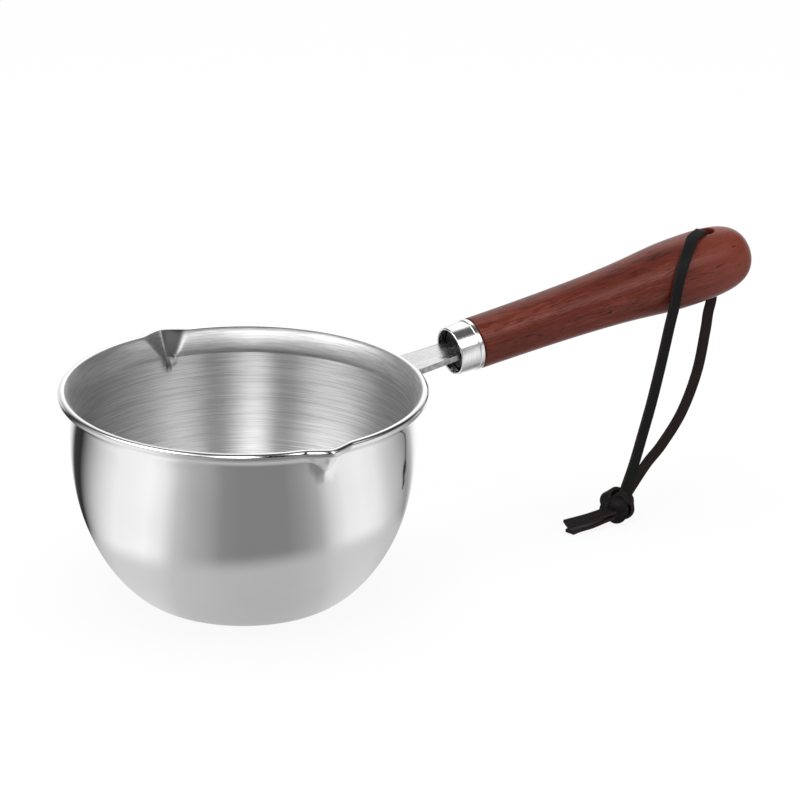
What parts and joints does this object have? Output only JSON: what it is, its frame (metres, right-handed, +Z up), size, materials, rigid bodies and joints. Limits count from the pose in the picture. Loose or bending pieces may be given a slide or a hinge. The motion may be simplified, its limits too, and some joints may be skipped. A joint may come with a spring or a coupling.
{
  "type": "hot oil pot",
  "caption": "Small steel pan for heating oil, with a flared rim, opposite pouring spouts, a turned wooden handle and a leather hanging loop.",
  "frame": {"origin": "middle of the flat base, on the surface that the pot stands on", "axes": "+Z up, +X along the handle away from the pot, the spouts at -Y and +Y"},
  "size_m": [0.2559, 0.1266, 0.0951],
  "materials": {
    "pot_steel": "satin polish outside, brushed round inside",
    "bar_steel": "satin",
    "ferrule_steel": "turned satin",
    "reddish_wood": "oiled, open pores along the grain",
    "dark_leather": "matt, with paler cut edges"
  },
  "bodies": {
    "pot": {"pot_body": "pot_steel", "handle_bar": "bar_steel", "handle_ferrule": "ferrule_steel", "wooden_grip": "reddish_wood", "lanyard_wrap": "dark_leather"},
    "lanyard": {"lanyard_front_run": "dark_leather", "lanyard_back_run": "dark_leather", "lanyard_knot": "dark_leather", "lanyard_upper_tail": "dark_leather", "lanyard_lower_tail": "dark_leather"}
  },
  "joints": [
    {"name": "lanyard_swing", "type": "hinge", "parent": "pot", "child": "lanyard", "pos_m": [0.15928, -0.01254, 0.074], "axis": [0.8608, 0.4577, -0.2226], "range_deg": [-90, 35]}
  ]
}
